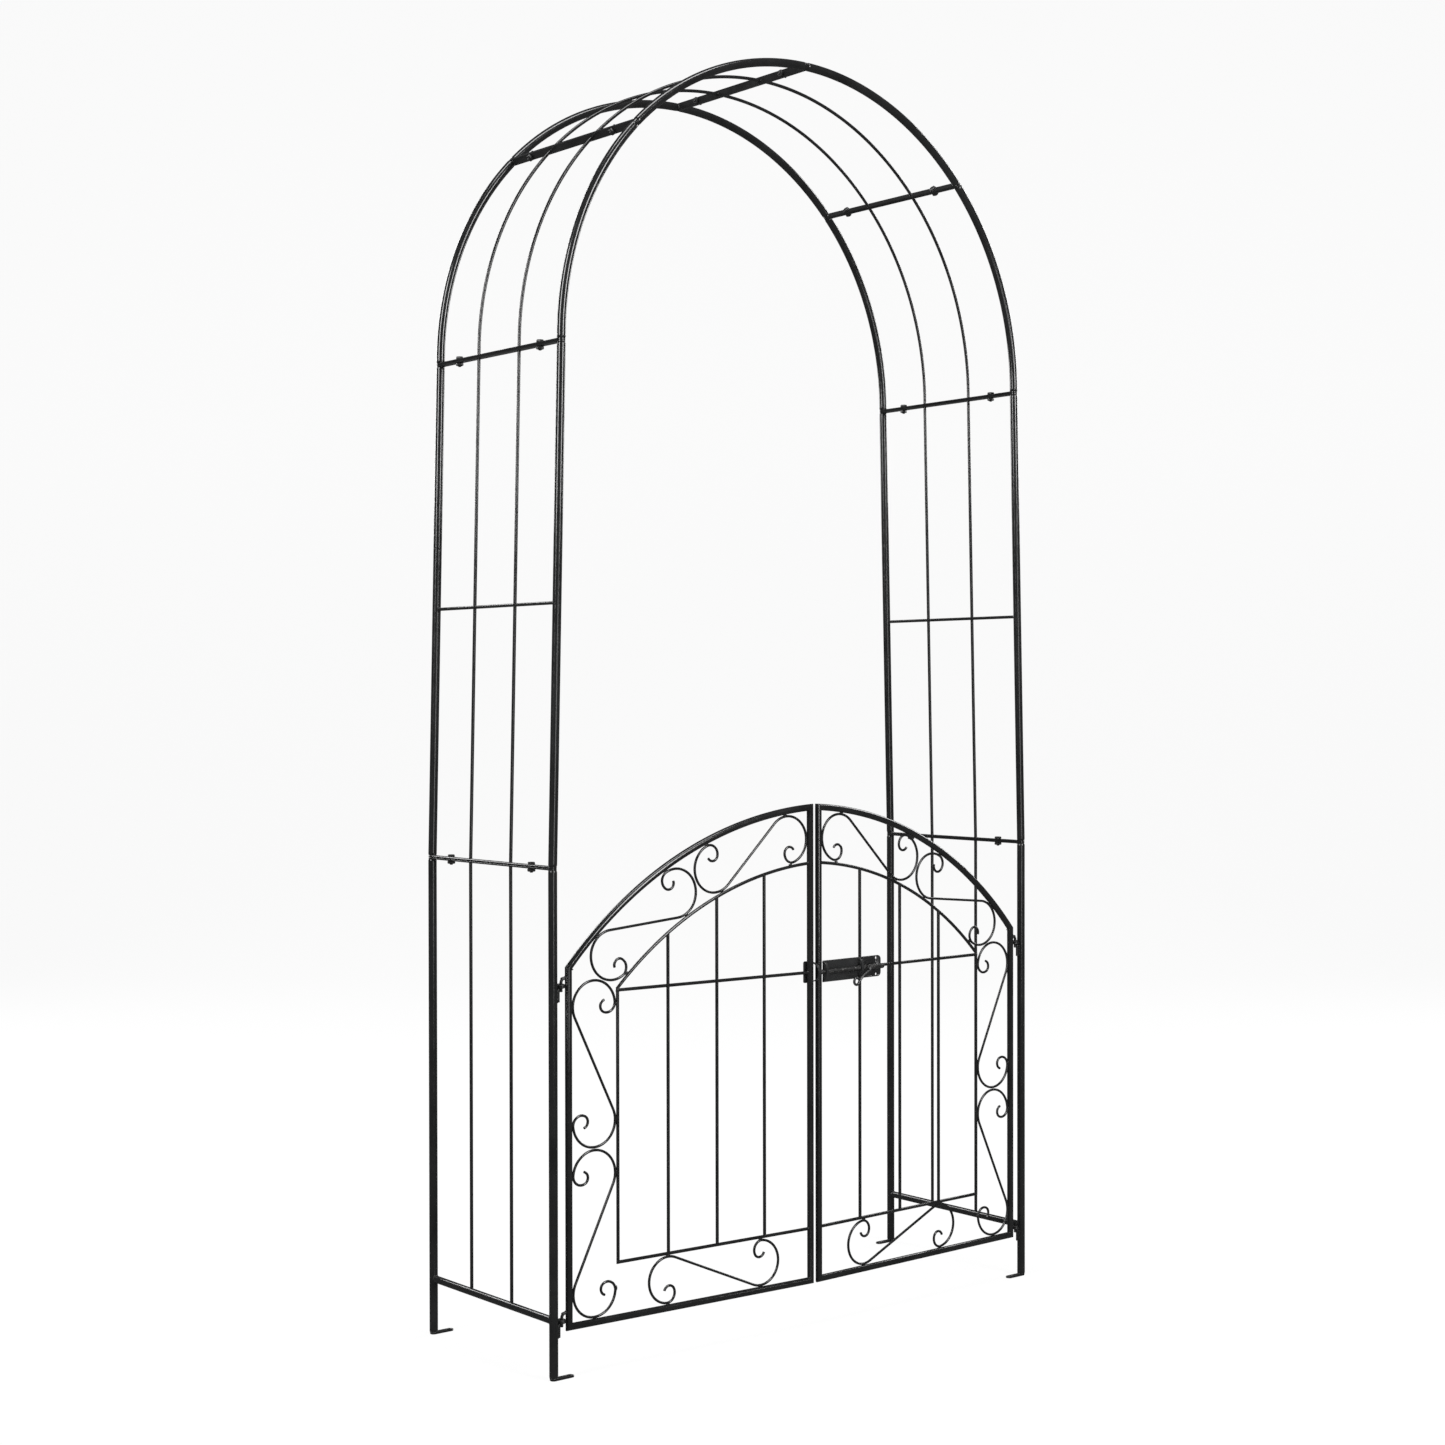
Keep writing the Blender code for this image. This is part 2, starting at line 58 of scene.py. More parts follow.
# Places taken from the frame
FRONT_Y = middle("Left_Front_Foot_Tab").y
BACK_Y = middle("Left_Back_Foot_Tab").y
DEPTH = BACK_Y - FRONT_Y
WIRE_YS = (FRONT_Y + DEPTH / 3, FRONT_Y + DEPTH * 2 / 3)
BOLT_YS = {"Front": FRONT_Y + DEPTH / 6, "Back": FRONT_Y + DEPTH * 5 / 6}
HINGE = {joint["name"]: joint for joint in frame["joints"]}["right_leaf_hinge"]
HINGE_X = HINGE["pos_m"][0]

# Sizes of the arch
GAP = 0.0003
FOOT_X = 0.559
SPRING_X = 0.539
SPRING_Z = 1.728
ARCH_CENTRE_Z = 1.733
SHOULDER_ANGLE = math.radians(44.6)
LOWER_JOINT_Z = 0.851
BOTTOM_RAIL_Z = 0.099
CROSSBAR_Z = 1.292
POST_RADIUS = 0.0075
RAIL_RADIUS = 0.0065
WIRE_RADIUS = 0.003
FLAT_WIDTH = 0.014
FLAT_THICKNESS = 0.003
FLAT_INSET = GAP / 2 + FLAT_THICKNESS / 2
FLAT_FACE = GAP / 2 + FLAT_THICKNESS
FOOT_WIDTH = 0.013
FOOT_REACH = 0.04
FOOT_THICKNESS = 0.003
PEG_HOLE_INSET = 0.009
PEG_HOLE_RADIUS = 0.0035
HEX_RADIUS = 0.0068
WASHER_RADIUS = 0.0066
SHANK_RADIUS = 0.0029

# Sizes of the gate
STILE_OFFSET = 0.0146
REST_ANGLE = math.radians(2.3)
LEAF_WIDTH = 0.5184
FRAME_RADIUS = 0.006
GATE_BOTTOM = 0.084
TOP_ARC = Vector((0.563, 0.188))
TOP_RADIUS = 0.750
INNER_RADIUS = 0.650
INNER_U = 0.099
INNER_BOTTOM = 0.178
MID_ROD_Z = 0.6395
ROD_RADIUS = 0.0029
BAR_COUNT = 3
SCROLL_WIRE = 0.0023
LOOP_RADIUS = 0.0424
LOW_LOOP_RADIUS = 0.0399
CURL_START = math.radians(-84)
CURL_RADIUS = 0.0163
CURL_SWEEP = math.radians(121)
TIP_RADIUS = 0.0108
TIP_SWEEP = math.radians(140)
LAST_U = LEAF_WIDTH - FRAME_RADIUS

# Hinges
HOOK_TOPS = {"Upper": 0.6675, "Lower": 0.109}
HOOK_RADIUS = 0.0026
HOOK_BEND = 0.0075
HOOK_DROP = 0.0228
EYE_WIRE = 0.0021
EYE_TURN_RADIUS = 0.0050
EYE_TOP = -0.008
EYE_HEIGHT = 0.0095
LEG_RADIUS = 0.0026
LEG_LENGTH = 0.022
EYE_TURNS = 2

# Latch
LATCH_Z = MID_ROD_Z
PLATE_FACE = -0.0053
PLATE_THICKNESS = 0.002
PLATE_HEIGHT = 0.039
PLATE_END = 0.364
PLATE_CORNER = 0.008
KEEPER_CORNER = 0.003
SCREW_U = 0.3765
SCREW_RISE = 0.015
SCREW_HOLE = 0.0025
BOLT_Y = -0.0104
LATCH_ROD = 0.004
BOLT_TIP = 0.5248
BARREL_START = 0.4
BARREL_END = 0.362
STRAP_FRONT = -0.0172
STRAP_HALF = 0.0175
STRAP_THICKNESS = 0.0018
STRAP_WIDTH = 0.0055
GUIDE_US = {"Near": 0.5112, "Far": 0.4212}
KEEPER_FACE = FRAME_RADIUS + GAP
KEEPER_START = 0.5085
KEEPER_STRAP_U = 0.5274
HANDLE_WIRE = 0.0024
HANDLE_Y = -0.0215
HANDLE_LOOP = 0.0062
HANDLE_BEND = 0.004
STEM_U = 0.407

# Camera, placed from the foot of the front posts
CAMERA_PLACE = Vector((-2.778, FRONT_Y - 3.169, 1.129))
CAMERA_YAW = math.radians(39.18)
CAMERA_PITCH = math.radians(-0.54)
CAMERA_ROLL = -0.0016
LENS = 58.03


# Materials


class Nodes:
    """A small helper that adds and links shader nodes."""

    def __init__(self, name):
        self.material = bpy.data.materials.new(name)
        self.material.use_nodes = True
        self.tree = self.material.node_tree
        self.shader = self.tree.nodes["Principled BSDF"]
        self.place = self.add("ShaderNodeTexCoord").outputs["Object"]

    def add(self, kind, **settings):
        node = self.tree.nodes.new(kind)
        for key, value in settings.items():
            setattr(node, key, value)
        return node

    def link(self, source, target):
        self.tree.links.new(source, target)

    def noise(self, scale, detail=3.0, roughness=0.55):
        node = self.add("ShaderNodeTexNoise")
        node.inputs["Scale"].default_value = scale
        node.inputs["Detail"].default_value = detail
        node.inputs["Roughness"].default_value = roughness
        self.link(self.place, node.inputs["Vector"])
        return node.outputs["Fac"]

    def ramp(self, source, stops):
        """A colour ramp; stops are (position, colour)."""
        node = self.add("ShaderNodeValToRGB")
        ramp = node.color_ramp
        while len(ramp.elements) < len(stops):
            ramp.elements.new(0.5)
        for element, (position, colour) in zip(ramp.elements, stops):
            element.position = position
            element.color = (*colour, 1)
        self.link(source, node.inputs["Fac"])
        return node.outputs["Color"]

    def mix(self, factor, first, second):
        node = self.add("ShaderNodeMix", data_type="RGBA")
        self.link(factor, node.inputs["Factor"])
        self.link(first, node.inputs["A"])
        self.link(second, node.inputs["B"])
        return node.outputs["Result"]

    def span(self, source, low, high, from_low=0.3, from_high=0.7):
        node = self.add("ShaderNodeMapRange")
        node.inputs["From Min"].default_value = from_low
        node.inputs["From Max"].default_value = from_high
        node.inputs["To Min"].default_value = low
        node.inputs["To Max"].default_value = high
        self.link(source, node.inputs["Value"])
        return node.outputs["Result"]

    def bump(self, layers):
        """Stacked bumps; layers are (height source, depth in metres)."""
        normal = None
        for height, depth in layers:
            node = self.add("ShaderNodeBump")
            node.inputs["Distance"].default_value = depth
            node.inputs["Strength"].default_value = 1.0
            self.link(height, node.inputs["Height"])
            if normal:
                self.link(normal, node.inputs["Normal"])
            normal = node.outputs["Normal"]
        self.link(normal, self.shader.inputs["Normal"])


def grey(value, warmth=0.0):
    return (value * (1 + warmth), value, value * (1 - warmth))


def coat_material(name, dark, light, gloss, grain=0.000008):
    """Satin black powder coat: an orange-peel skin with fine grain, faint dust and dull patches."""
    nodes = Nodes(name)
    cloud = nodes.noise(14, 4)
    fine = nodes.noise(220, 5)
    base = nodes.ramp(cloud, ((0.3, grey(dark, -0.03)), (0.7, grey(light, -0.02))))
    dust = nodes.ramp(fine, ((0.35, grey(dark)), (0.8, grey(light * 1.5, 0.03))))
    patches = nodes.span(nodes.noise(45, 3), 0.0, 0.45, 0.45, 0.75)
    nodes.link(nodes.mix(patches, base, dust), nodes.shader.inputs["Base Color"])
    rough = nodes.span(nodes.noise(60, 4), gloss, gloss + 0.12)
    nodes.link(rough, nodes.shader.inputs["Roughness"])
    nodes.bump(((nodes.noise(520, 2), grain * 2), (nodes.noise(2100, 2), grain)))
    nodes.shader.inputs["Metallic"].default_value = 0.0
    nodes.shader.inputs["Specular IOR Level"].default_value = 0.5
    nodes.shader.inputs["Coat Weight"].default_value = 0.1
    nodes.shader.inputs["Coat Roughness"].default_value = 0.12
    return nodes.material


def worn_material(name, dark, steel, gloss, amount):
    """Black finish rubbed through to steel where parts slide and turn."""
    nodes = Nodes(name)
    streaks = nodes.noise(160, 6, 0.7)
    worn = nodes.span(streaks, 0.0, 1.0, 1 - amount, 1.08 - amount)
    base = nodes.ramp(nodes.noise(90, 4), ((0.3, grey(dark)), (0.7, grey(dark * 1.7))))
    metal = nodes.ramp(nodes.noise(400, 3), ((0.3, grey(steel * 0.8, 0.02)), (0.7, grey(steel, 0.03))))
    nodes.link(nodes.mix(worn, base, metal), nodes.shader.inputs["Base Color"])
    nodes.link(nodes.span(worn, 0.1, 0.9, 0, 1), nodes.shader.inputs["Metallic"])
    nodes.link(nodes.span(nodes.noise(130, 4), gloss, gloss + 0.18), nodes.shader.inputs["Roughness"])
    nodes.bump(((nodes.noise(700, 3), 0.00002), (streaks, 0.00003)))
    return nodes.material


def make_materials():
    return {
        "arch_coat": coat_material("Arch_Powder_Coat", 0.007, 0.014, 0.11),
        "gate_coat": coat_material("Gate_Powder_Coat", 0.007, 0.014, 0.12),
        "hinge_coat": worn_material("Hinge_Rubbed_Coat", 0.008, 0.22, 0.30, 0.34),
        # The latch coat is a lighter black than the arch and gate coats: partly the latch's own finish,
        # partly painted sheen that stands in for the highlights on the latch plate, straps and keeper.
        "latch_coat": coat_material("Latch_Coat_Painted_Sheen", 0.012, 0.026, 0.24, 0.00001),
        "slide_finish": worn_material("Latch_Rubbed_Finish", 0.012, 0.30, 0.24, 0.44),
        "bolt_finish": worn_material("Blackened_Bolt_Steel", 0.010, 0.14, 0.30, 0.36),
        "weld": coat_material("Coated_Weld", 0.006, 0.014, 0.30, 0.00006),
    }


# Mesh tools


def smooth_object(name, bm, angle=35):
    bmesh.ops.recalc_face_normals(bm, faces=bm.faces)
    mesh = bpy.data.meshes.new(name)
    bm.to_mesh(mesh)
    bm.free()
    mesh.shade_smooth()
    mesh.set_sharp_from_angle(angle=math.radians(angle))
    obj = bpy.data.objects.new(name, mesh)
    bpy.context.scene.collection.objects.link(obj)
    return obj


def skin(bm, rings, closed=False):
    sides = len(rings[0])
    last = len(rings) if closed else len(rings) - 1
    for i in range(last):
        here, there = rings[i], rings[(i + 1) % len(rings)]
        for k in range(sides):
            bm.faces.new((here[k], here[(k + 1) % sides], there[(k + 1) % sides], there[k]))
    if not closed:
        bm.faces.new(reversed(rings[0]))
        bm.faces.new(rings[-1])


def eased_ends(points, radii, ease):
    """Rounds both ends of a rod. A second full-size ring keeps the long run's shading true."""
    first = (points[1] - points[0]).normalized()
    last = (points[-2] - points[-1]).normalized()
    steps = ((0, 1), (0.3, 0.3), (1, 0), (2, 0))
    head = [(points[0] + first * ease * reach, radii[0] - ease * drop) for reach, drop in steps]
    tail = [(points[-1] + last * ease * reach, radii[-1] - ease * drop) for reach, drop in reversed(steps)]
    rings = head + list(zip(points[1:-1], radii[1:-1])) + tail
    return [point for point, _ in rings], [size for _, size in rings]


def sweep(bm, points, radius, sides=20, closed=False, ease=0.0):
    """A round rod along a path, mitred at corners. radius may be one number or one for each point."""
    points = [Vector(point) for point in points]
    radii = list(radius) if isinstance(radius, (list, tuple)) else [radius] * len(points)
    if ease:
        points, radii = eased_ends(points, radii, ease)
    count = len(points)
    start = (points[1] - points[0]).normalized()
    normal = start.cross((1, 0, 0) if abs(start.x) < 0.6 else (0, 0, 1)).normalized()
    rings = []
    for i, point in enumerate(points):
        before = points[i - 1] if i or closed else None
        after = points[(i + 1) % count] if i < count - 1 or closed else None
        arriving = (point - before).normalized() if before is not None else (after - point).normalized()
        leaving = (after - point).normalized() if after is not None else arriving
        along = (arriving + leaving).normalized()
        normal = (normal - along * normal.dot(along)).normalized()
        across = along.cross(normal)
        bend = arriving - leaving
        stretch = 1 / max(along.dot(arriving), 0.3) - 1
        outward = bend.normalized() if bend.length > 1e-6 else Vector()
        ring = []
        for k in range(sides):
            turn = math.tau * k / sides
            offset = normal * math.cos(turn) + across * math.sin(turn)
            offset += outward * offset.dot(outward) * stretch
            ring.append(bm.verts.new(point + offset * radii[i]))
        rings.append(ring)
    skin(bm, rings, closed)


def rod(name, points, radius, sides=20, closed=False, ease=0.0):
    bm = bmesh.new()
    sweep(bm, points, radius, sides, closed, ease)
    return smooth_object(name, bm)


def lathe(bm, profile, sides, place, roll=0.0):
    """Rings of (height, radius) about local Z, moved by the matrix place."""
    rings = []
    for height, radius in profile:
        ring = []
        for k in range(sides):
            turn = math.tau * k / sides + roll
            point = Vector((radius * math.cos(turn), radius * math.sin(turn), height))
            ring.append(bm.verts.new(place @ point))
        rings.append(ring)
    skin(bm, rings)


def plate(bm, outline, thickness, place, edge=0.0004):
    """A flat plate with eased edges: the outline in local X and Y, extruded up local Z."""
    count = len(outline)
    inset = []
    for i, point in enumerate(outline):
        point = Vector(point)
        before, after = Vector(outline[i - 1]), Vector(outline[(i + 1) % count])
        arriving, leaving = (point - before).normalized(), (after - point).normalized()
        along = (arriving + leaving).normalized()
        inward = Vector((-along.y, along.x)) / max(along.dot(arriving), 0.5)
        inset.append(point + inward * edge)
    rings = []
    levels = ((0, inset), (edge, outline), (thickness - edge, outline), (thickness, inset))
    for height, shape in levels:
        rings.append([bm.verts.new(place @ Vector((*point, height))) for point in shape])
    skin(bm, rings)


def arc(centre, radius, start, sweep_angle, steps):
    angles = [start + sweep_angle * i / steps for i in range(steps + 1)]
    return [Vector((centre[0] + radius * math.cos(a), centre[1] + radius * math.sin(a))) for a in angles]


def smooth_path(points, rounds):
    """Rounds the corners of a path by cutting them (Chaikin), keeping its two ends."""
    for _ in range(rounds):
        path = [points[0]]
        for here, there in zip(points, points[1:]):
            path += [here.lerp(there, 0.25), here.lerp(there, 0.75)]
        points = path + [points[-1]]
    return points[::2] + ([points[-1]] if len(points) % 2 == 0 else [])


def axes(origin, x_axis, y_axis, z_axis):
    matrix = Matrix((x_axis, y_axis, z_axis)).transposed().to_4x4()
    return Matrix.Translation(origin) @ matrix


def bead(bm, centre, along, length, radius, seed):
    """A lumpy weld bead: a stretched ball with ripples across it."""
    along = Vector(along).normalized()
    turn = Vector((1, 0, 0)).rotation_difference(along).to_matrix()
    made = bmesh.ops.create_icosphere(bm, subdivisions=2, radius=1.0)
    for vert in made["verts"]:
        ripple = 1 + 0.10 * math.sin(vert.co.x * 7 + seed)
        lump = 1 + 0.16 * noise.noise(vert.co * 1.7 + Vector((seed, 0, seed)))
        local = Vector((vert.co.x * length, vert.co.y * radius, vert.co.z * radius)) * ripple * lump
        vert.co = Vector(centre) + turn @ local


def weld_group(name, beads, body, material, *nodes):
    """One object for all the beads of a welded part: each is (centre, along, half length, radius)."""
    bm = bmesh.new()
    for seed, (centre, along, length, radius) in enumerate(beads):
        bead(bm, centre, along, length, radius, seed * 0.7)
    slot = "arch_coat" if body == "arch" else "gate_coat"
    finish_piece(smooth_object(name, bm, 60), body, material, slot, *nodes)


def finish_piece(obj, body, material, slot, *nodes):
    obj.data.materials.clear()
    obj.data.materials.append(MATERIALS[material])
    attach(obj, body)
    if nodes:
        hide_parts(*nodes)
    return obj


# Arch


def lean_x(z):
    return FOOT_X + (SPRING_X - FOOT_X) * (z - LOWER_JOINT_Z) / (SPRING_Z - LOWER_JOINT_Z)


def arch_point(side, angle):
    return side * SPRING_X * math.cos(angle), ARCH_CENTRE_Z + SPRING_X * math.sin(angle)


def joint_place(x, z, along, y):
    """Local X across the flat, local Y along the depth, local Z along the bar at a joint."""
    along = Vector((along[0], 0, along[1])).normalized()
    depth = Vector((0, 1, 0))
    return axes(Vector((x, y, z)), depth.cross(along), depth, along)


def flat_bar(bm, x, z, along, side_of_joint):
    end = FLAT_WIDTH / 2
    outline = arc((0, 0), end, math.pi, math.pi, 14) + arc((0, DEPTH), end, 0, math.pi, 14)
    start = side_of_joint * FLAT_INSET - FLAT_THICKNESS / 2
    place = joint_place(x, z, along, FRONT_Y) @ Matrix.Translation((0, 0, start))
    plate(bm, outline, FLAT_THICKNESS, place, 0.0005)


def section(name, path, joints, rails=()):
    """The fine pieces of one welded section: posts, wires, rails, flats and weld beads."""
    beads = []
    for y, place in ((FRONT_Y, "Front"), (BACK_Y, "Back")):
        points = [(x, y, z) for x, z in path(FLAT_FACE - 0.0002)]
        post = rod(f"{name}_{place}_Post", points, POST_RADIUS, 28, ease=0.0024)
        finish_piece(post, "arch", "arch_coat", "arch_coat", name)
    bm = bmesh.new()
    for y in WIRE_YS:
        points = [(x, y, z) for x, z in path(FLAT_INSET)]
        if rails and rails[0][2] == RAIL_RADIUS:
            points[0] = (points[0][0], y, rails[0][1])
        sweep(bm, points, WIRE_RADIUS, 16)
    finish_piece(smooth_object(name + "_Wires", bm), "arch", "arch_coat", "arch_coat", name)
    for x, z, radius in rails:
        bar = rod(name + "_Rail", ((x, FRONT_Y, z), (x, BACK_Y, z)), radius, 22)
        finish_piece(bar, "arch", "arch_coat", "arch_coat", name)
        for y, turn in ((FRONT_Y, 1), (BACK_Y, -1)):
            collar(beads, (x, y + turn * POST_RADIUS, z), (0, turn, 0), radius)
        for y in WIRE_YS:
            crossing(beads, (x, y, z), radius)
    bm = bmesh.new()
    for x, z, along, side_of_joint in joints:
        flat_bar(bm, x, z, along, side_of_joint)
        joint_welds(beads, x, z, along, side_of_joint)
    finish_piece(smooth_object(name + "_Flats", bm), "arch", "arch_coat", "arch_coat", name)
    weld_group(name + "_Welds", beads, "arch", "weld", name)


def collar(beads, centre, along, radius):
    """Beads around the foot of a rod that is welded square onto another surface."""
    along = Vector(along).normalized()
    first = along.cross((0.3, 0.5, 0.8)).normalized()
    second = along.cross(first)
    count = 6
    for k in range(count):
        turn = math.tau * k / count
        out = first * math.cos(turn) + second * math.sin(turn)
        around = along.cross(out)
        beads.append((Vector(centre) + out * radius * 0.92 + along * 0.0004, around, radius * 0.62, 0.0011))


def crossing(beads, centre, radius):
    """Two small beads where a wire meets a rail or crossbar."""
    reach = radius * 0.5 + WIRE_RADIUS * 0.5
    for turn in (-1, 1):
        beads.append((Vector(centre) + Vector((0, turn * reach, radius * 0.62)), (0, 0, 1), 0.0022, 0.0012))


def joint_welds(beads, x, z, along, side_of_joint):
    """Beads where posts and wires end on the inner face of a joint flat."""
    place = joint_place(x, z, along, FRONT_Y)
    face = side_of_joint * FLAT_FACE
    across = place.to_3x3() @ Vector((1, 0, 0))
    ends = ((0, POST_RADIUS), (DEPTH, POST_RADIUS), (DEPTH / 3, WIRE_RADIUS), (DEPTH * 2 / 3, WIRE_RADIUS))
    for y, radius in ends:
        turn = 1 if y < DEPTH / 2 else -1
        centre = place @ Vector((0, y + turn * radius * 0.9, face))
        beads.append((centre, across, radius * 0.72, 0.0014))
        if radius == WIRE_RADIUS:
            centre = place @ Vector((0, y - turn * radius * 0.9, face))
            beads.append((centre, across, radius * 0.72, 0.0012))


def path_steps(low, high, steps):
    return [low + (high - low) * i / steps for i in range(steps + 1)]


def lower_panel(side, name):
    x = side * FOOT_X
    foot_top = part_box("Left_Front_Foot_Tab")[1][2] + GAP

    def path(trim):
        return (x, foot_top), (x, LOWER_JOINT_Z - trim)

    section(name, path, [(x, LOWER_JOINT_Z, (0, 1), -1)], [(x, BOTTOM_RAIL_Z, RAIL_RADIUS)])


def upper_panel(side, name):
    def path(trim):
        low, high = LOWER_JOINT_Z + trim, SPRING_Z - trim
        return (side * lean_x(low), low), (side * lean_x(high), high)

    joints = (
        (side * FOOT_X, LOWER_JOINT_Z, (0, 1), 1),
        (side * SPRING_X, SPRING_Z, (0, 1), -1),
    )
    section(name, path, joints, [(side * lean_x(CROSSBAR_Z), CROSSBAR_Z, ROD_RADIUS)])


def arch_section(side, name, start, end):
    def path(trim):
        turns = path_steps(start + trim / SPRING_X, end - trim / SPRING_X, 40)
        return [arch_point(side, turn) for turn in turns]

    joints = []
    for angle, side_of_joint in ((start, 1), (end, -1)):
        x, z = arch_point(side, angle)
        joints.append((x, z, (-side * math.sin(angle), math.cos(angle)), side_of_joint))
    section(name, path, joints)


def thread(low, high, radius, pitch=0.001, depth=0.00045):
    """Profile of a threaded shank: a ridge and a groove for each turn."""
    turns = max(1, round((high - low) / pitch))
    step = (high - low) / turns
    profile = []
    for i in range(turns):
        profile.append((low + i * step, radius - depth))
        profile.append((low + (i + 0.5) * step, radius))
    profile.append((high, radius - depth))
    return profile


def joint_bolt(name, x, z, along, y):
    """Hex bolt with washer and chamfered nut, and a threaded end."""
    place = joint_place(x, z, along, y)
    face = FLAT_FACE + GAP
    bm = bmesh.new()
    washer = (
        (face, WASHER_RADIUS - 0.0004),
        (face + 0.0005, WASHER_RADIUS),
        (face + 0.0010, WASHER_RADIUS - 0.0004),
    )
    lathe(bm, washer, 28, place)
    head = (
        (face + 0.0008, HEX_RADIUS - 0.0004),
        (face + 0.0012, HEX_RADIUS),
        (face + 0.0034, HEX_RADIUS),
        (face + 0.0043, HEX_RADIUS - 0.0009),
        (face + 0.0041, HEX_RADIUS - 0.0022),
    )
    lathe(bm, head, 6, place)
    bolt = smooth_object(name, bm, 25)
    finish_piece(bolt, "arch", "bolt_finish", "bolt_finish", name)
    bm = bmesh.new()
    nut = (
        (-face - 0.0050, HEX_RADIUS - 0.0010),
        (-face - 0.0042, HEX_RADIUS),
        (-face - 0.0008, HEX_RADIUS),
        (-face, HEX_RADIUS - 0.0009),
    )
    lathe(bm, nut, 6, place, 0.35)
    shank = thread(-face - 0.0065, -face - 0.0045, SHANK_RADIUS)
    lathe(bm, [(-face - 0.0068, SHANK_RADIUS - 0.001), *shank], 20, place)
    finish_piece(smooth_object(name + "_Nut", bm, 25), "arch", "bolt_finish", "bolt_finish", name)


def foot_tab(name, side, y):
    """The strap foot with its peg hole and softened edges."""
    end = FOOT_WIDTH / 2
    outline = arc((FOOT_REACH - end, 0), end, -math.pi / 2, math.pi, 16)
    outline += arc((0, 0), end, math.pi / 2, math.pi, 16)
    origin = Vector((side * FOOT_X, y, 0))
    place = axes(origin, Vector((-side, 0, 0)), Vector((0, -side, 0)), Vector((0, 0, 1)))
    bm = bmesh.new()
    plate(bm, outline, FOOT_THICKNESS, place)
    foot = smooth_object(name + "_Strap", bm)
    spot = Matrix.Translation((side * (FOOT_X - FOOT_REACH + PEG_HOLE_INSET), y, 0))
    drill(foot, [(spot, PEG_HOLE_RADIUS)])
    finish_piece(foot, "arch", "arch_coat", "arch_coat", name)
    beads = []
    collar(beads, (side * FOOT_X, y, 0.0034), (0, 0, 1), POST_RADIUS * 0.86)
    weld_group(name + "_Weld", beads, "arch", "weld")


def drill(obj, holes):
    """Cuts round holes: holes are (matrix with local Z along the hole, radius)."""
    bm = bmesh.new()
    for place, radius in holes:
        lathe(bm, ((-0.02, radius), (0.02, radius)), 28, place)
    cutter = smooth_object("cutter", bm)
    boolean = obj.modifiers.new("Holes", "BOOLEAN")
    boolean.operation = "DIFFERENCE"
    boolean.object = cutter
    boolean.solver = "EXACT"
    graph = bpy.context.evaluated_depsgraph_get()
    cut = bpy.data.meshes.new_from_object(obj.evaluated_get(graph))
    obj.modifiers.clear()
    obj.data = cut
    bpy.data.objects.remove(cutter, do_unlink=True)


def arch():
    start = math.asin((SPRING_Z - ARCH_CENTRE_Z) / SPRING_X)
    joints = [("Apex", 0, ARCH_CENTRE_Z + SPRING_X, (1, 0))]
    for side, hand in ((-1, "Left"), (1, "Right")):
        lower_panel(side, hand + "_Lower_Side_Panel")
        upper_panel(side, hand + "_Upper_Side_Panel")
        arch_section(side, hand + "_Lower_Arch_Section", start, SHOULDER_ANGLE)
        arch_section(side, hand + "_Upper_Arch_Section", SHOULDER_ANGLE, math.pi / 2)
        joints.append((hand + "_Panel", side * FOOT_X, LOWER_JOINT_Z, (0, 1)))
        joints.append((hand + "_Spring", side * SPRING_X, SPRING_Z, (0, 1)))
        x, z = arch_point(side, SHOULDER_ANGLE)
        along = (-side * math.sin(SHOULDER_ANGLE), math.cos(SHOULDER_ANGLE))
        joints.append((hand + "_Shoulder", x, z, along))
        for y, place in ((FRONT_Y, "Front"), (BACK_Y, "Back")):
            foot_tab(hand + "_" + place + "_Foot_Tab", side, y)
    for name, x, z, along in joints:
        for place, y in BOLT_YS.items():
            joint_bolt(name + "_Joint_" + place + "_Bolt", x, z, along, y)


# Gate leaves


def leaf_matrix(side):
    """From a hinge's frame to the world, with the leaf at its resting angle."""
    return Matrix.Translation((side * HINGE_X, FRONT_Y, 0)) @ Matrix.Rotation(side * REST_ANGLE, 4, "Z")


def leaf_point(side, u, z, y=0.0):
    return leaf_matrix(side) @ Vector((-side * (STILE_OFFSET + u), y, z))


def leaf_direction(side, u, z, y=0.0):
    return leaf_matrix(side).to_3x3() @ Vector((-side * u, y, z))


def leaf_path(side, points, y=0.0):
    return [leaf_point(side, u, z, y) for u, z in points]


def arc_over(radius, low_u, high_u, steps):
    low = math.acos((low_u - TOP_ARC.x) / radius)
    high = math.acos((high_u - TOP_ARC.x) / radius)
    return arc(TOP_ARC, radius, low, high - low, steps)


def gate_piece(obj, body, *nodes):
    return finish_piece(obj, body, "gate_coat", "gate_coat", *nodes)


def gate_frame(hand, side, body):
    name = hand + "_Gate_Frame"
    outline = [(LEAF_WIDTH, GATE_BOTTOM), (0, GATE_BOTTOM)]
    outline += arc_over(TOP_RADIUS, 0, LEAF_WIDTH, 72)
    gate_piece(rod(name + "_Tube", leaf_path(side, outline), FRAME_RADIUS, 26, closed=True), body, name)
    beads = []
    top = arc_over(TOP_RADIUS, 0, LEAF_WIDTH, 1)
    corners = (
        ((0, GATE_BOTTOM), (1, 1)),
        ((LEAF_WIDTH, GATE_BOTTOM), (-1, 1)),
        (top[0], (0.93, -0.36)),
        (top[1], (-1, -0.94)),
    )
    for (u, z), (du, dz) in corners:
        inner = Vector((du, dz)).normalized()
        centre = leaf_point(side, u + inner.x * FRAME_RADIUS * 1.22, z + inner.y * FRAME_RADIUS * 1.22)
        beads.append((centre, leaf_direction(side, 0, 0, 1), 0.0042, 0.0014))
    weld_group(name + "_Welds", beads, body, "weld")


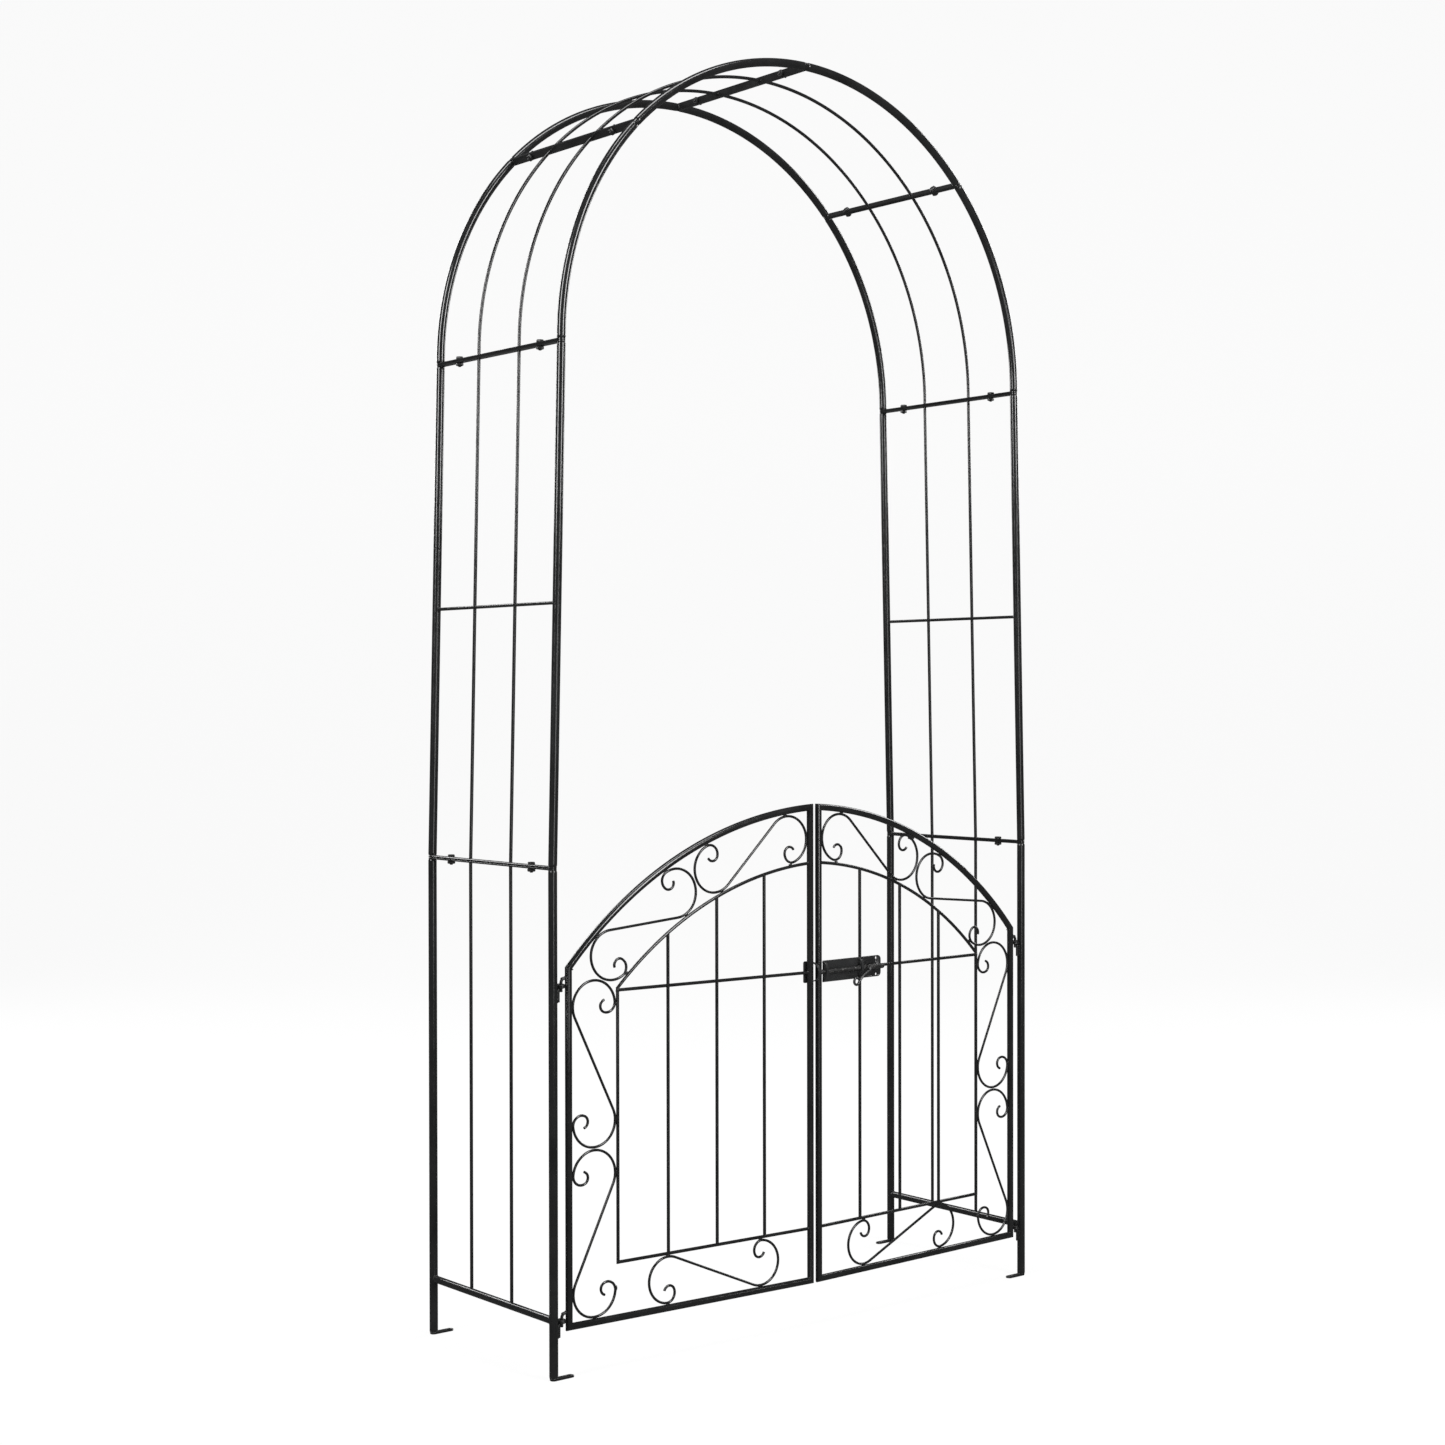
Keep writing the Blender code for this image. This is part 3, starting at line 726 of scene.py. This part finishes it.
def gate_grid(hand, side, body):
    name = hand + "_Gate_Grid"
    beads = []
    bm = bmesh.new()
    outline = [(LAST_U, INNER_BOTTOM), (INNER_U, INNER_BOTTOM)]
    outline += arc_over(INNER_RADIUS, INNER_U, LAST_U, 60)
    sweep(bm, leaf_path(side, outline), ROD_RADIUS, 16)
    sweep(bm, leaf_path(side, ((INNER_U, MID_ROD_Z), (LAST_U, MID_ROD_Z))), ROD_RADIUS, 16)
    tops = []
    for i in range(BAR_COUNT):
        u = INNER_U + (LEAF_WIDTH - INNER_U) * (i + 1) / (BAR_COUNT + 1)
        top = TOP_ARC.y + math.sqrt(INNER_RADIUS**2 - (u - TOP_ARC.x) ** 2)
        tops.append((u, top))
        sweep(bm, leaf_path(side, ((u, INNER_BOTTOM), (u, top))), ROD_RADIUS, 16)
    gate_piece(smooth_object(name + "_Rods", bm), body, name)
    up = leaf_direction(side, 0, 1)
    for u, top in tops:
        for z, lift in ((INNER_BOTTOM, 1), (top, -1), (MID_ROD_Z, 1), (MID_ROD_Z, -1)):
            centre = leaf_point(side, u, z + lift * ROD_RADIUS * 1.05)
            beads.append((centre, leaf_direction(side, 1, 0), 0.0036, 0.0013))
    bow_end = arc_over(INNER_RADIUS, INNER_U, LAST_U, 1)[1].y
    for z in (INNER_BOTTOM, MID_ROD_Z, bow_end):
        beads.append((leaf_point(side, LAST_U + 0.0002, z), up, 0.0036, 0.0030))
    beads.append((leaf_point(side, INNER_U, MID_ROD_Z), up, 0.0042, 0.0034))
    weld_group(name + "_Welds", beads, body, "weld")


def turned_by(angle):
    return Vector((math.cos(angle), math.sin(angle)))


def scroll_path(spacing, loop, hand):
    """An S-scroll along local X: a straight between two loops that curl in twice, tighter at the tip."""
    lean = math.asin(2 * loop / spacing)
    centre = Vector((spacing / 2, 0))
    start = math.pi / 2 + lean
    half = arc(centre, loop, start, CURL_START - start, 44)
    curl = centre + (loop - CURL_RADIUS) * turned_by(CURL_START)
    half += arc(curl, CURL_RADIUS, CURL_START, -CURL_SWEEP, 18)[1:]
    tip = curl + (CURL_RADIUS - TIP_RADIUS) * turned_by(CURL_START - CURL_SWEEP)
    half += arc(tip, TIP_RADIUS, CURL_START - CURL_SWEEP, -TIP_SWEEP, 18)[1:]
    path = [-point for point in reversed(half)] + half
    return [Vector((point.x, hand * point.y)) for point in path]


def scroll(name, side, body, first, second, loop, hand):
    first, second = Vector(first), Vector(second)
    along = (second - first).normalized()
    across = Vector((-along.y, along.x))
    centre = (first + second) / 2
    path = scroll_path((second - first).length, loop, hand)
    points = [centre + point.x * along + point.y * across for point in path]
    wire = rod(name + "_Wire", leaf_path(side, points), SCROLL_WIRE, 14, ease=0.0005)
    gate_piece(wire, body, name)


def band_point(degrees):
    turn = math.radians(degrees)
    radius = (TOP_RADIUS - FRAME_RADIUS + INNER_RADIUS + 0.003) / 2
    return TOP_ARC + radius * Vector((math.cos(turn), math.sin(turn)))


def gate_scrolls(hand, side, body):
    name = hand + "_Gate_Scroll_"
    band_u = (FRAME_RADIUS + INNER_U - 0.003) / 2
    low_z = (GATE_BOTTOM + FRAME_RADIUS + INNER_BOTTOM - 0.003) / 2
    scrolls = (
        ("Side_Low", (band_u, 0.135), (band_u, 0.3312), LOOP_RADIUS, -1),
        ("Side_High", (band_u, 0.421), (band_u, 0.617), LOOP_RADIUS, 1),
        ("Bottom", (0.203, low_z), (0.404, low_z), LOW_LOOP_RADIUS, -1),
        ("Top_Outer", band_point(132.9), band_point(119.3), LOOP_RADIUS, -1),
        ("Top_Inner", band_point(111.8), band_point(97.9), LOOP_RADIUS, 1),
    )
    beads = []
    for place, first, second, loop, turn in scrolls:
        scroll(name + place, side, body, first, second, loop, turn)
        for centre in (Vector(first), Vector(second)):
            scroll_welds(beads, side, place, centre, loop + SCROLL_WIRE)
    weld_group(hand + "_Gate_Scroll_Welds", beads, body, "weld")


def scroll_welds(beads, side, place, centre, reach):
    """Beads where a loop touches the frame and the inner rods beside it."""
    if place.startswith("Side"):
        outs = (Vector((-1, 0)), Vector((1, 0)))
    elif place == "Bottom":
        outs = (Vector((0, -1)), Vector((0, 1)))
    else:
        radial = (centre - TOP_ARC).normalized()
        outs = (radial, -radial)
    for out in outs:
        spot = centre + out * reach
        beads.append((leaf_point(side, *spot), leaf_direction(side, -out.y, out.x), 0.0042, 0.0015))


def hinge_eye(name, side, top):
    """A bent-rod eye: a leg welded down the post that wraps twice around the hinge axis."""
    high = top + EYE_TOP
    low = high - EYE_HEIGHT
    leg_x = FOOT_X - POST_RADIUS - LEG_RADIUS - 2 * GAP
    pivot = Vector((side * HINGE_X, FRONT_Y, 0))
    steps = 26 * EYE_TURNS
    first, last = low + EYE_WIRE + 0.0001, high - EYE_WIRE - 0.0001
    points, radii = [], []
    for z in path_steps(low - LEG_LENGTH, first - 0.0035, 6):
        points.append(Vector((side * leg_x, FRONT_Y, z)))
        radii.append(LEG_RADIUS)
    for i in range(steps + 1):
        part = i / steps
        turn = math.tau * EYE_TURNS * part
        out = Vector((side * math.cos(turn), -math.sin(turn), 0)) * EYE_TURN_RADIUS
        points.append(pivot + out + Vector((0, 0, first + (last - first) * part)))
        radii.append(EYE_WIRE)
    eye = rod(name + "_Rod", points, radii, 16, ease=0.0005)
    finish_piece(eye, "arch", "hinge_coat", "hinge_coat", name)
    beads = []
    for z in path_steps(low - LEG_LENGTH + 0.004, low - 0.006, 2):
        for turn in (-1, 1):
            centre = Vector((side * (FOOT_X - POST_RADIUS - 0.0005), FRONT_Y + turn * 0.0022, z))
            beads.append((centre, (0, 0, 1), 0.0052, 0.0014))
    weld_group(name + "_Weld", beads, "arch", "weld")


def hinge_hook(name, side, top, body):
    start = STILE_OFFSET - FRAME_RADIUS - GAP
    bend = arc((HOOK_BEND, top - HOOK_BEND), HOOK_BEND, math.pi / 2, math.pi / 2, 22)
    path = [Vector((start, top))] + bend + [Vector((0, top - HOOK_DROP))]
    points = [leaf_matrix(side) @ Vector((-side * point.x, 0, point.y)) for point in path]
    hook = rod(name + "_Rod", points, HOOK_RADIUS, 18, ease=0.0006)
    finish_piece(hook, body, "hinge_coat", "hinge_coat", name)
    beads = []
    centre = leaf_matrix(side) @ Vector((-side * (start + 0.0002), 0, top))
    collar(beads, centre, leaf_direction(side, -1, 0), HOOK_RADIUS + 0.0004)
    weld_group(name + "_Weld", beads, body, "weld")


# Latch


def strap_shape(back, count):
    """Outer and inner profile of a strap that bridges the bolt, as (height, depth) points."""
    outer, inner = [], []
    reach = STRAP_HALF - STRAP_THICKNESS
    front = STRAP_FRONT + STRAP_THICKNESS
    for i in range(count + 1):
        turn = math.pi * i / count
        swell = math.sin(turn) ** 0.8
        outer.append((STRAP_HALF * math.cos(turn), back + (STRAP_FRONT - back) * swell))
        inner.append((reach * math.cos(turn), back + (front - back) * swell))
    return outer, inner


def strap(bm, side, u, back):
    outer, inner = strap_shape(back, 28)
    origin = leaf_point(side, u - STRAP_WIDTH / 2, LATCH_Z)
    place = axes(origin, Vector((0, 0, 1)), leaf_direction(side, 0, 0, 1), leaf_direction(side, 1, 0))
    edge = 0.00035
    rings = []
    for height, ease in ((0, edge), (edge, 0), (STRAP_WIDTH - edge, 0), (STRAP_WIDTH, edge)):
        blend = ease / STRAP_THICKNESS
        shape = [Vector(a).lerp(Vector(b), blend) for a, b in zip(outer, inner)]
        shape += [Vector(b).lerp(Vector(a), blend) for a, b in zip(reversed(outer), reversed(inner))]
        rings.append([bm.verts.new(place @ Vector((*point, height))) for point in shape])
    skin(bm, rings)


def latch_piece(obj, body, *nodes, material="latch_coat"):
    return finish_piece(obj, body, material, "latch_coat", *nodes)


def latch_plate(side, body):
    start = LAST_U - GAP
    half = PLATE_HEIGHT / 2
    inset = PLATE_END + PLATE_CORNER
    outline = [(start, -half), (start, half)]
    outline += arc((inset, half - PLATE_CORNER), PLATE_CORNER, math.pi / 2, math.pi / 2, 12)
    outline += arc((inset, PLATE_CORNER - half), PLATE_CORNER, math.pi, math.pi / 2, 12)
    origin = leaf_point(side, 0, LATCH_Z, PLATE_FACE)
    place = axes(origin, leaf_direction(side, 1, 0), Vector((0, 0, 1)), leaf_direction(side, 0, 0, 1))
    bm = bmesh.new()
    plate(bm, outline, PLATE_THICKNESS, place)
    sheet = smooth_object("Latch_Plate_Sheet", bm)
    turned = leaf_matrix(side).to_3x3().to_4x4() @ Matrix.Rotation(math.pi / 2, 4, "X")
    holes = []
    for height in (-SCREW_RISE, SCREW_RISE):
        centre = leaf_point(side, SCREW_U, LATCH_Z + height)
        holes.append((Matrix.Translation(centre) @ turned, SCREW_HOLE))
    drill(sheet, holes)
    latch_piece(sheet, body, "Latch_Plate")
    beads = []
    for u in (0.413, 0.49):
        for lift in (-1, 1):
            centre = leaf_point(side, u, MID_ROD_Z + lift * 0.0022, -0.0031)
            beads.append((centre, leaf_direction(side, 1, 0), 0.0045, 0.0011))
    weld_group("Latch_Plate_Welds", beads, body, "weld")


def latch_guides(side, body):
    for place, u in GUIDE_US.items():
        bm = bmesh.new()
        strap(bm, side, u, PLATE_FACE - GAP)
        latch_piece(smooth_object(f"Latch_{place}_Guide_Bridge", bm), body, f"Latch_{place}_Guide_Strap")
        beads = []
        for lift in (-1, 1):
            for shift in (-1, 1):
                centre = leaf_point(side, u + shift * 0.0022, LATCH_Z + lift * 0.0168, PLATE_FACE - 0.0006)
                beads.append((centre, Vector((0, 0, 1)), 0.0016, 0.0011))
        weld_group(f"Latch_{place}_Guide_Weld", beads, body, "weld")


def latch_keeper(side, body):
    half = PLATE_HEIGHT / 2
    last = KEEPER_STRAP_U + STRAP_WIDTH / 2
    small, large = KEEPER_CORNER / 2, KEEPER_CORNER
    outline = arc((last - small, -half + small), small, -math.pi / 2, math.pi / 2, 4)
    outline += arc((last - small, half - small), small, 0, math.pi / 2, 4)
    outline += arc((KEEPER_START + large, half - large), large, math.pi / 2, math.pi / 2, 6)
    outline += arc((KEEPER_START + large, large - half), large, math.pi, math.pi / 2, 6)
    origin = leaf_point(side, 0, LATCH_Z, KEEPER_FACE)
    place = axes(origin, leaf_direction(side, 1, 0), Vector((0, 0, 1)), leaf_direction(side, 0, 0, 1))
    bm = bmesh.new()
    plate(bm, outline, PLATE_THICKNESS, place)
    strap(bm, side, KEEPER_STRAP_U, KEEPER_FACE + 0.001)
    latch_piece(smooth_object("Latch_Keeper_Plate", bm), body, "Latch_Keeper")


def latch_bolt(side, body):
    """The sliding rod with its barrel, and the wire handle that ends in a loop."""
    origin = leaf_point(side, 0, LATCH_Z, BOLT_Y)
    place = axes(origin, leaf_direction(side, 0, 0, 1), Vector((0, 0, -side)), leaf_direction(side, 1, 0))
    thick = LATCH_ROD * 1.2
    profile = (
        (BARREL_END, thick * 0.45),
        (BARREL_END + 0.0008, thick * 0.7),
        (BARREL_END + 0.0025, thick * 0.92),
        (BARREL_END + 0.0045, thick * 0.99),
        (BARREL_START - 0.0035, thick * 0.99),
        (BARREL_START - 0.001, LATCH_ROD * 1.06),
        (BARREL_START, LATCH_ROD * 0.99),
        (BOLT_TIP - 0.0025, LATCH_ROD * 0.99),
        (BOLT_TIP - 0.0010, LATCH_ROD * 0.86),
        (BOLT_TIP, LATCH_ROD * 0.6),
    )
    bm = bmesh.new()
    lathe(bm, profile, 28, place)
    rod_piece = smooth_object("Latch_Bolt_Rod", bm, 50)
    latch_piece(rod_piece, body, "Latch_Bolt", material="slide_finish")
    stem = [leaf_point(side, STEM_U, LATCH_Z, BOLT_Y - 0.0015)]
    for turn in path_steps(0, math.pi / 2, 8):
        drop = HANDLE_BEND * (1 - math.cos(turn))
        reach = HANDLE_BEND * math.sin(turn)
        stem.append(leaf_point(side, STEM_U, LATCH_Z - drop, HANDLE_Y + HANDLE_BEND - reach))
    curve = [(STEM_U + 0.001, LATCH_Z - 0.0045), (STEM_U + 0.006, LATCH_Z - 0.0065)]
    curve += [(STEM_U + 0.0175, LATCH_Z - 0.0125), (STEM_U + 0.025, LATCH_Z - 0.0186)]
    eye = (STEM_U + 0.0358, LATCH_Z - 0.022)
    loop = arc(eye, HANDLE_LOOP, math.radians(200), math.radians(290), 36)
    stem += leaf_path(side, curve, HANDLE_Y) + leaf_path(side, loop, HANDLE_Y)
    handle = rod("Latch_Bolt_Handle", smooth_path(stem, 3), HANDLE_WIRE * 0.98, 16, ease=0.0005)
    latch_piece(handle, body, "Latch_Bolt")
    beads = []
    root = leaf_point(side, STEM_U, LATCH_Z, BOLT_Y - LATCH_ROD)
    collar(beads, root, leaf_direction(side, 0, 0, -1), 0.0026)
    weld_group("Latch_Bolt_Weld", beads, body, "weld")


def gate():
    for side, hand, body in ((-1, "Left", "left_leaf"), (1, "Right", "right_leaf")):
        gate_frame(hand, side, body)
        gate_grid(hand, side, body)
        gate_scrolls(hand, side, body)
        for level, top in HOOK_TOPS.items():
            hinge_eye(f"{hand}_{level}_Hinge_Eye", side, top)
            hinge_hook(f"{hand}_{level}_Hinge_Hook", side, top, body)
    latch_plate(1, "right_leaf")
    latch_guides(1, "right_leaf")
    latch_keeper(-1, "left_leaf")
    latch_bolt(1, "bolt")


# Studio


def backdrop():
    """A pale floor that curves up into a wall behind the arch."""
    front, reach, width = -30.0, 5.0, 50.0
    cove, height = 2.5, 9.0
    profile = [(front, 0.0)]
    for turn in path_steps(0, math.pi / 2, 24):
        profile.append((reach + cove * math.sin(turn), cove * (1 - math.cos(turn))))
    profile.append((reach + cove, height))
    turn = Matrix.Rotation(-CAMERA_YAW, 4, "Z")
    bm = bmesh.new()
    rows = []
    for x in (-width / 2, width / 2):
        rows.append([bm.verts.new(turn @ Vector((x, y, z))) for y, z in profile])
    for i in range(len(profile) - 1):
        bm.faces.new((rows[0][i], rows[1][i], rows[1][i + 1], rows[0][i + 1]))
    floor = smooth_object("Studio_Floor", bm, 60)
    floor.location.z = -0.0002
    material = bpy.data.materials.new("Pale_Studio")
    material.use_nodes = True
    shader = material.node_tree.nodes["Principled BSDF"]
    shader.inputs["Base Color"].default_value = (0.08, 0.08, 0.08, 1)
    shader.inputs["Roughness"].default_value = 0.9
    shader.inputs["Specular IOR Level"].default_value = 0.0
    shader.inputs["Emission Color"].default_value = (1, 1, 1, 1)
    shader.inputs["Emission Strength"].default_value = 0.9
    floor.data.materials.append(material)
    floor.visible_glossy = False


def softbox(name, turn, distance, height, size, power):
    """A rectangular light, at turn degrees round from the camera, that faces the arch."""
    data = bpy.data.lights.new(name, "AREA")
    data.shape = "RECTANGLE"
    data.size, data.size_y = size
    data.energy = power
    light = bpy.data.objects.new(name, data)
    around = math.radians(turn) - CAMERA_YAW - math.pi / 2
    light.location = (distance * math.cos(around), distance * math.sin(around), height)
    aim = Vector((0, 0, 1.2)) - light.location
    light.rotation_euler = aim.to_track_quat("-Z", "Y").to_euler()
    bpy.context.scene.collection.objects.link(light)


def studio():
    """Soft lights in a world that is pale to look at but dim in reflections, so tube edges stay dark."""
    world = bpy.data.worlds.new("Studio")
    bpy.context.scene.world = world
    world.use_nodes = True
    tree = world.node_tree
    background = tree.nodes["Background"]
    background.inputs["Color"].default_value = (1, 1, 1, 1)
    strength = tree.nodes.new("ShaderNodeMapRange")
    strength.inputs["To Min"].default_value = 0.08
    strength.inputs["To Max"].default_value = 0.90
    seen = tree.nodes.new("ShaderNodeLightPath").outputs["Is Camera Ray"]
    tree.links.new(seen, strength.inputs["Value"])
    tree.links.new(strength.outputs["Result"], background.inputs["Strength"])
    tall = (1.3, 2.8)
    lights = (
        ("Soft_Left", -46, 4.6, 3.2, tall, 175),
        ("Soft_Right", 46, 4.6, 3.2, tall, 190),
        ("Low_Front", 24, 5.5, 0.9, (1.2, 1.6), 26),
        ("Overhead", 20, 1.0, 5.4, (3.0, 1.0), 90),
        ("Back_Left", -134, 4.6, 3.2, tall, 120),
        ("Back_Right", 134, 4.6, 3.2, tall, 120),
    )
    for light in lights:
        softbox(*light)
    bpy.context.scene.view_settings.view_transform = "Standard"


def camera():
    data = bpy.data.cameras.new("Camera")
    data.lens = LENS
    data.sensor_width = 36
    data.clip_start = 0.05
    view = bpy.data.objects.new("Camera", data)
    view.location = CAMERA_PLACE
    turn = Matrix.Rotation(-CAMERA_YAW, 4, "Z") @ Matrix.Rotation(math.pi / 2 + CAMERA_PITCH, 4, "X")
    view.rotation_euler = (turn @ Matrix.Rotation(CAMERA_ROLL, 4, "Z")).to_euler()
    bpy.context.scene.collection.objects.link(view)
    bpy.context.scene.camera = view


camera()
MATERIALS = make_materials()
arch()
gate()
backdrop()
studio()
